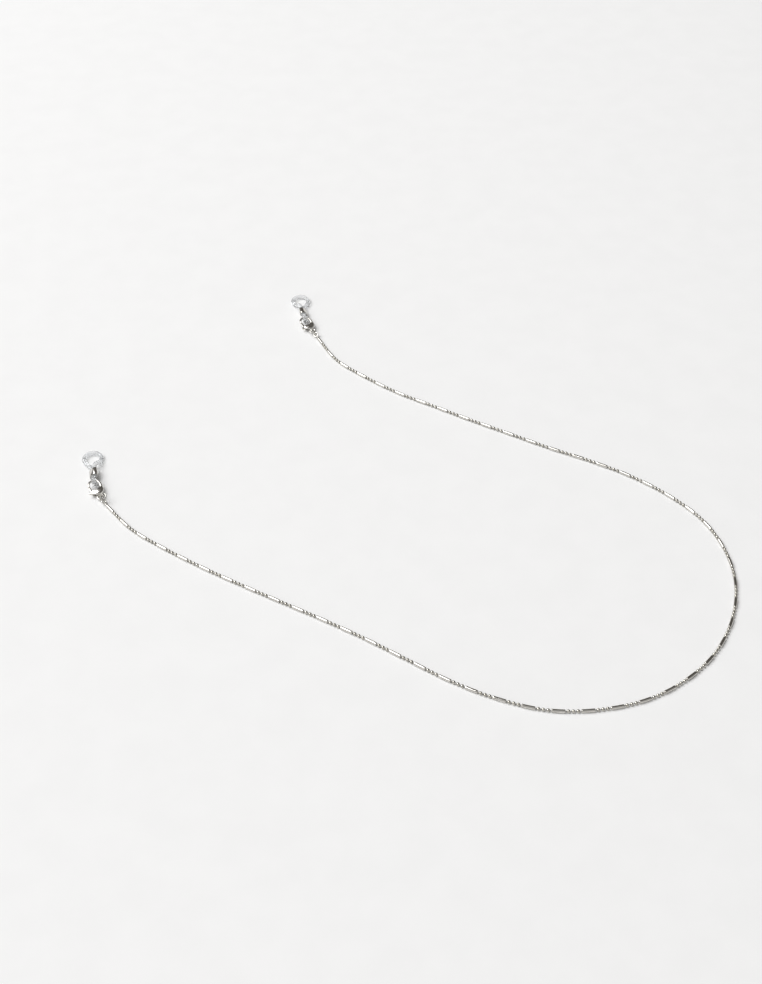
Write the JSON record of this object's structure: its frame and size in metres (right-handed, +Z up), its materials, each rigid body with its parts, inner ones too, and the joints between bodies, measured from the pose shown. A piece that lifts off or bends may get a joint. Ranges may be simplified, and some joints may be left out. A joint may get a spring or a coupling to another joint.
{
  "type": "eyeglasses chain strap",
  "caption": "Fine bar-and-bead metal neck chain for eyeglasses, with a lobster clasp and a clear silicone temple loop at each end.",
  "frame": {"origin": "centre of the strap's footprint, on the table top it lies on", "axes": "+Z up from the table; +X along the long side of the U towards its closed end; both temple loops point roughly along +Y"},
  "size_m": [0.2908, 0.2758, 0.0054],
  "materials": {
    "silver_chain": "polished silver-coloured plating",
    "silver_fittings": "polished silver-coloured plating",
    "spring_steel": "drawn spring wire",
    "clear_silicone": "clear, slightly milky, glossy"
  },
  "bodies": {
    "chain_segment_01": {"chain_segment_01": "silver_chain"},
    "chain_segment_02": {"chain_segment_02": "silver_chain"},
    "chain_segment_03": {"chain_segment_03": "silver_chain"},
    "chain_segment_04": {"chain_segment_04": "silver_chain"},
    "chain_segment_05": {"chain_segment_05": "silver_chain"},
    "chain_segment_06": {"chain_segment_06": "silver_chain"},
    "chain_segment_07": {"chain_segment_07": "silver_chain"},
    "chain_segment_08": {"chain_segment_08": "silver_chain"},
    "chain_segment_09": {"chain_segment_09": "silver_chain"},
    "chain_segment_10": {"chain_segment_10": "silver_chain"},
    "chain_segment_11": {"chain_segment_11": "silver_chain"},
    "chain_segment_12": {"chain_segment_12": "silver_chain"},
    "chain_segment_13": {"chain_segment_13": "silver_chain"},
    "chain_segment_14": {"chain_segment_14": "silver_chain"},
    "chain_segment_15": {"chain_segment_15": "silver_chain"},
    "chain_segment_16": {"chain_segment_16": "silver_chain"},
    "chain_segment_17": {"chain_segment_17": "silver_chain"},
    "chain_segment_18": {"chain_segment_18": "silver_chain"},
    "chain_segment_19": {"chain_segment_19": "silver_chain"},
    "chain_segment_20": {"chain_segment_20": "silver_chain"},
    "chain_segment_21": {"chain_segment_21": "silver_chain"},
    "chain_segment_22": {"chain_segment_22": "silver_chain"},
    "chain_segment_23": {"chain_segment_23": "silver_chain"},
    "chain_segment_24": {"chain_segment_24": "silver_chain"},
    "chain_segment_25": {"chain_segment_25": "silver_chain"},
    "chain_segment_26": {"chain_segment_26": "silver_chain"},
    "left_end_eye": {"left_end_eye": "silver_fittings"},
    "left_jump_ring": {"left_jump_ring": "silver_fittings"},
    "left_clasp": {"left_clasp_body": "silver_fittings", "left_lever_pin": "silver_fittings", "left_lever_spring": "spring_steel"},
    "left_clasp_lever": {"left_clasp_lever": "silver_fittings"},
    "left_silicone_loop": {"left_silicone_loop": "clear_silicone"},
    "left_ferrule": {"left_ferrule": "silver_fittings"},
    "right_end_eye": {"right_end_eye": "silver_fittings"},
    "right_jump_ring": {"right_jump_ring": "silver_fittings"},
    "right_clasp": {"right_clasp_body": "silver_fittings", "right_lever_pin": "silver_fittings", "right_lever_spring": "spring_steel"},
    "right_clasp_lever": {"right_clasp_lever": "silver_fittings"},
    "right_silicone_loop": {"right_silicone_loop": "clear_silicone"},
    "right_ferrule": {"right_ferrule": "silver_fittings"}
  },
  "joints": [
    {"name": "chain_bend_13", "type": "hinge", "parent": "chain_segment_13", "child": "chain_segment_14", "pos_m": [0.13143, -0.10419, 0.00075], "axis": [0, 0, 1], "range_deg": [-20, 20]},
    {"name": "chain_bend_14", "type": "hinge", "parent": "chain_segment_14", "child": "chain_segment_15", "pos_m": [0.14143, -0.08291, 0.00075], "axis": [0, 0, -1], "range_deg": [-20, 20]},
    {"name": "chain_bend_15", "type": "hinge", "parent": "chain_segment_15", "child": "chain_segment_16", "pos_m": [0.14446, -0.05962, 0.00075], "axis": [0, 0, -1], "range_deg": [-20, 20]},
    {"name": "chain_bend_16", "type": "hinge", "parent": "chain_segment_16", "child": "chain_segment_17", "pos_m": [0.13931, -0.03671, 0.00075], "axis": [0, 0, 1], "range_deg": [-20, 20]},
    {"name": "chain_bend_17", "type": "hinge", "parent": "chain_segment_17", "child": "chain_segment_18", "pos_m": [0.1261, -0.01733, 0.00075], "axis": [0, 0, 1], "range_deg": [-20, 20]},
    {"name": "chain_bend_18", "type": "hinge", "parent": "chain_segment_18", "child": "chain_segment_19", "pos_m": [0.10818, -0.00204, 0.00075], "axis": [0, 0, -1], "range_deg": [-20, 20]},
    {"name": "chain_bend_19", "type": "hinge", "parent": "chain_segment_19", "child": "chain_segment_20", "pos_m": [0.08784, 0.00989, 0.00075], "axis": [0, 0, -1], "range_deg": [-20, 20]},
    {"name": "chain_bend_20", "type": "hinge", "parent": "chain_segment_20", "child": "chain_segment_21", "pos_m": [0.0668, 0.02057, 0.00075], "axis": [0, 0, 1], "range_deg": [-20, 20]},
    {"name": "chain_bend_21", "type": "hinge", "parent": "chain_segment_21", "child": "chain_segment_22", "pos_m": [0.04619, 0.03206, 0.00075], "axis": [0, 0, 1], "range_deg": [-20, 20]},
    {"name": "chain_bend_22", "type": "hinge", "parent": "chain_segment_22", "child": "chain_segment_23", "pos_m": [0.02571, 0.04379, 0.00075], "axis": [0, 0, -1], "range_deg": [-20, 20]},
    {"name": "chain_bend_23", "type": "hinge", "parent": "chain_segment_23", "child": "chain_segment_24", "pos_m": [0.00531, 0.05565, 0.00075], "axis": [0, 0, -1], "range_deg": [-20, 20]},
    {"name": "chain_bend_24", "type": "hinge", "parent": "chain_segment_24", "child": "chain_segment_25", "pos_m": [-0.01372, 0.06958, 0.00075], "axis": [0, 0, 1], "range_deg": [-20, 20]},
    {"name": "chain_bend_25", "type": "hinge", "parent": "chain_segment_25", "child": "chain_segment_26", "pos_m": [-0.03051, 0.08603, 0.00075], "axis": [0, 0, 1], "range_deg": [-20, 20]},
    {"name": "chain_bend_12", "type": "hinge", "parent": "chain_segment_13", "child": "chain_segment_12", "pos_m": [0.1153, -0.12127, 0.00075], "axis": [0, 0, 1], "range_deg": [-20, 20]},
    {"name": "chain_bend_11", "type": "hinge", "parent": "chain_segment_12", "child": "chain_segment_11", "pos_m": [0.09474, -0.13263, 0.00075], "axis": [0, 0, -1], "range_deg": [-20, 20]},
    {"name": "chain_bend_10", "type": "hinge", "parent": "chain_segment_11", "child": "chain_segment_10", "pos_m": [0.07161, -0.13694, 0.00075], "axis": [0, 0, -1], "range_deg": [-20, 20]},
    {"name": "chain_bend_09", "type": "hinge", "parent": "chain_segment_10", "child": "chain_segment_09", "pos_m": [0.04833, -0.134, 0.00075], "axis": [0, 0, 1], "range_deg": [-20, 20]},
    {"name": "chain_bend_08", "type": "hinge", "parent": "chain_segment_09", "child": "chain_segment_08", "pos_m": [0.02659, -0.12491, 0.00075], "axis": [0, 0, 1], "range_deg": [-20, 20]},
    {"name": "chain_bend_07", "type": "hinge", "parent": "chain_segment_08", "child": "chain_segment_07", "pos_m": [0.00651, -0.11254, 0.00075], "axis": [0, 0, -1], "range_deg": [-20, 20]},
    {"name": "chain_bend_06", "type": "hinge", "parent": "chain_segment_07", "child": "chain_segment_06", "pos_m": [-0.01328, -0.09968, 0.00075], "axis": [0, 0, -1], "range_deg": [-20, 20]},
    {"name": "chain_bend_05", "type": "hinge", "parent": "chain_segment_06", "child": "chain_segment_05", "pos_m": [-0.03364, -0.08775, 0.00075], "axis": [0, 0, 1], "range_deg": [-20, 20]},
    {"name": "chain_bend_04", "type": "hinge", "parent": "chain_segment_05", "child": "chain_segment_04", "pos_m": [-0.05429, -0.07633, 0.00075], "axis": [0, 0, 1], "range_deg": [-20, 20]},
    {"name": "chain_bend_03", "type": "hinge", "parent": "chain_segment_04", "child": "chain_segment_03", "pos_m": [-0.07484, -0.06473, 0.00075], "axis": [0, 0, -1], "range_deg": [-20, 20]},
    {"name": "chain_bend_02", "type": "hinge", "parent": "chain_segment_03", "child": "chain_segment_02", "pos_m": [-0.09492, -0.05233, 0.00075], "axis": [0, 0, -1], "range_deg": [-20, 20]},
    {"name": "chain_bend_01", "type": "hinge", "parent": "chain_segment_02", "child": "chain_segment_01", "pos_m": [-0.11416, -0.03868, 0.00075], "axis": [0, 0, 1], "range_deg": [-20, 20]},
    {"name": "left_eye_swivel", "type": "hinge", "parent": "chain_segment_01", "child": "left_end_eye", "pos_m": [-0.12995, -0.02119, 0.00075], "axis": [0, 0, -1], "range_deg": [-20, 20]},
    {"name": "left_ring_swing", "type": "hinge", "parent": "left_end_eye", "child": "left_jump_ring", "pos_m": [-0.13132, -0.01936, 0.00126], "axis": [0, 0, 1], "range_deg": [-25, 25]},
    {"name": "left_clasp_swing", "type": "hinge", "parent": "left_jump_ring", "child": "left_clasp", "pos_m": [-0.13321, -0.01644, 0.00135], "axis": [0, 0, -1], "range_deg": [-22, 22]},
    {"name": "left_lever_open", "type": "hinge", "parent": "left_clasp", "child": "left_clasp_lever", "pos_m": [-0.13637, -0.0143, 0.00179], "axis": [-0.0611, 0.1154, -0.9914], "range_deg": [0, 28], "stiffness_Nm_per_rad": 0.006, "springref_deg": -17.19},
    {"name": "left_loop_swing", "type": "hinge", "parent": "left_clasp", "child": "left_silicone_loop", "pos_m": [-0.13682, -0.00961, 0.00272], "axis": [0, 0, 1], "range_deg": [-28, 28]},
    {"name": "left_ferrule_slide", "type": "slide", "parent": "left_silicone_loop", "child": "left_ferrule", "axis": [-0.189, 0.982, 0], "range_m": [0, 0.0015]},
    {"name": "right_eye_swivel", "type": "hinge", "parent": "chain_segment_26", "child": "right_end_eye", "pos_m": [-0.03887, 0.10176, 0.00075], "axis": [0, 0, 1], "range_deg": [-20, 20]},
    {"name": "right_ring_swing", "type": "hinge", "parent": "right_end_eye", "child": "right_jump_ring", "pos_m": [-0.03991, 0.10381, 0.00126], "axis": [0, 0, -1], "range_deg": [-25, 25]},
    {"name": "right_clasp_swing", "type": "hinge", "parent": "right_jump_ring", "child": "right_clasp", "pos_m": [-0.0417, 0.10678, 0.00135], "axis": [0, 0, 1], "range_deg": [-22, 22]},
    {"name": "right_lever_open", "type": "hinge", "parent": "right_clasp", "child": "right_clasp_lever", "pos_m": [-0.04495, 0.1088, 0.00179], "axis": [-0.0652, 0.1131, -0.9914], "range_deg": [0, 28], "stiffness_Nm_per_rad": 0.006, "springref_deg": -17.19},
    {"name": "right_loop_swing", "type": "hinge", "parent": "right_clasp", "child": "right_silicone_loop", "pos_m": [-0.04557, 0.11348, 0.00272], "axis": [0, 0, -1], "range_deg": [-28, 28]},
    {"name": "right_ferrule_slide", "type": "slide", "parent": "right_silicone_loop", "child": "right_ferrule", "axis": [-0.1734, 0.9849, 0], "range_m": [0, 0.0015]}
  ]
}
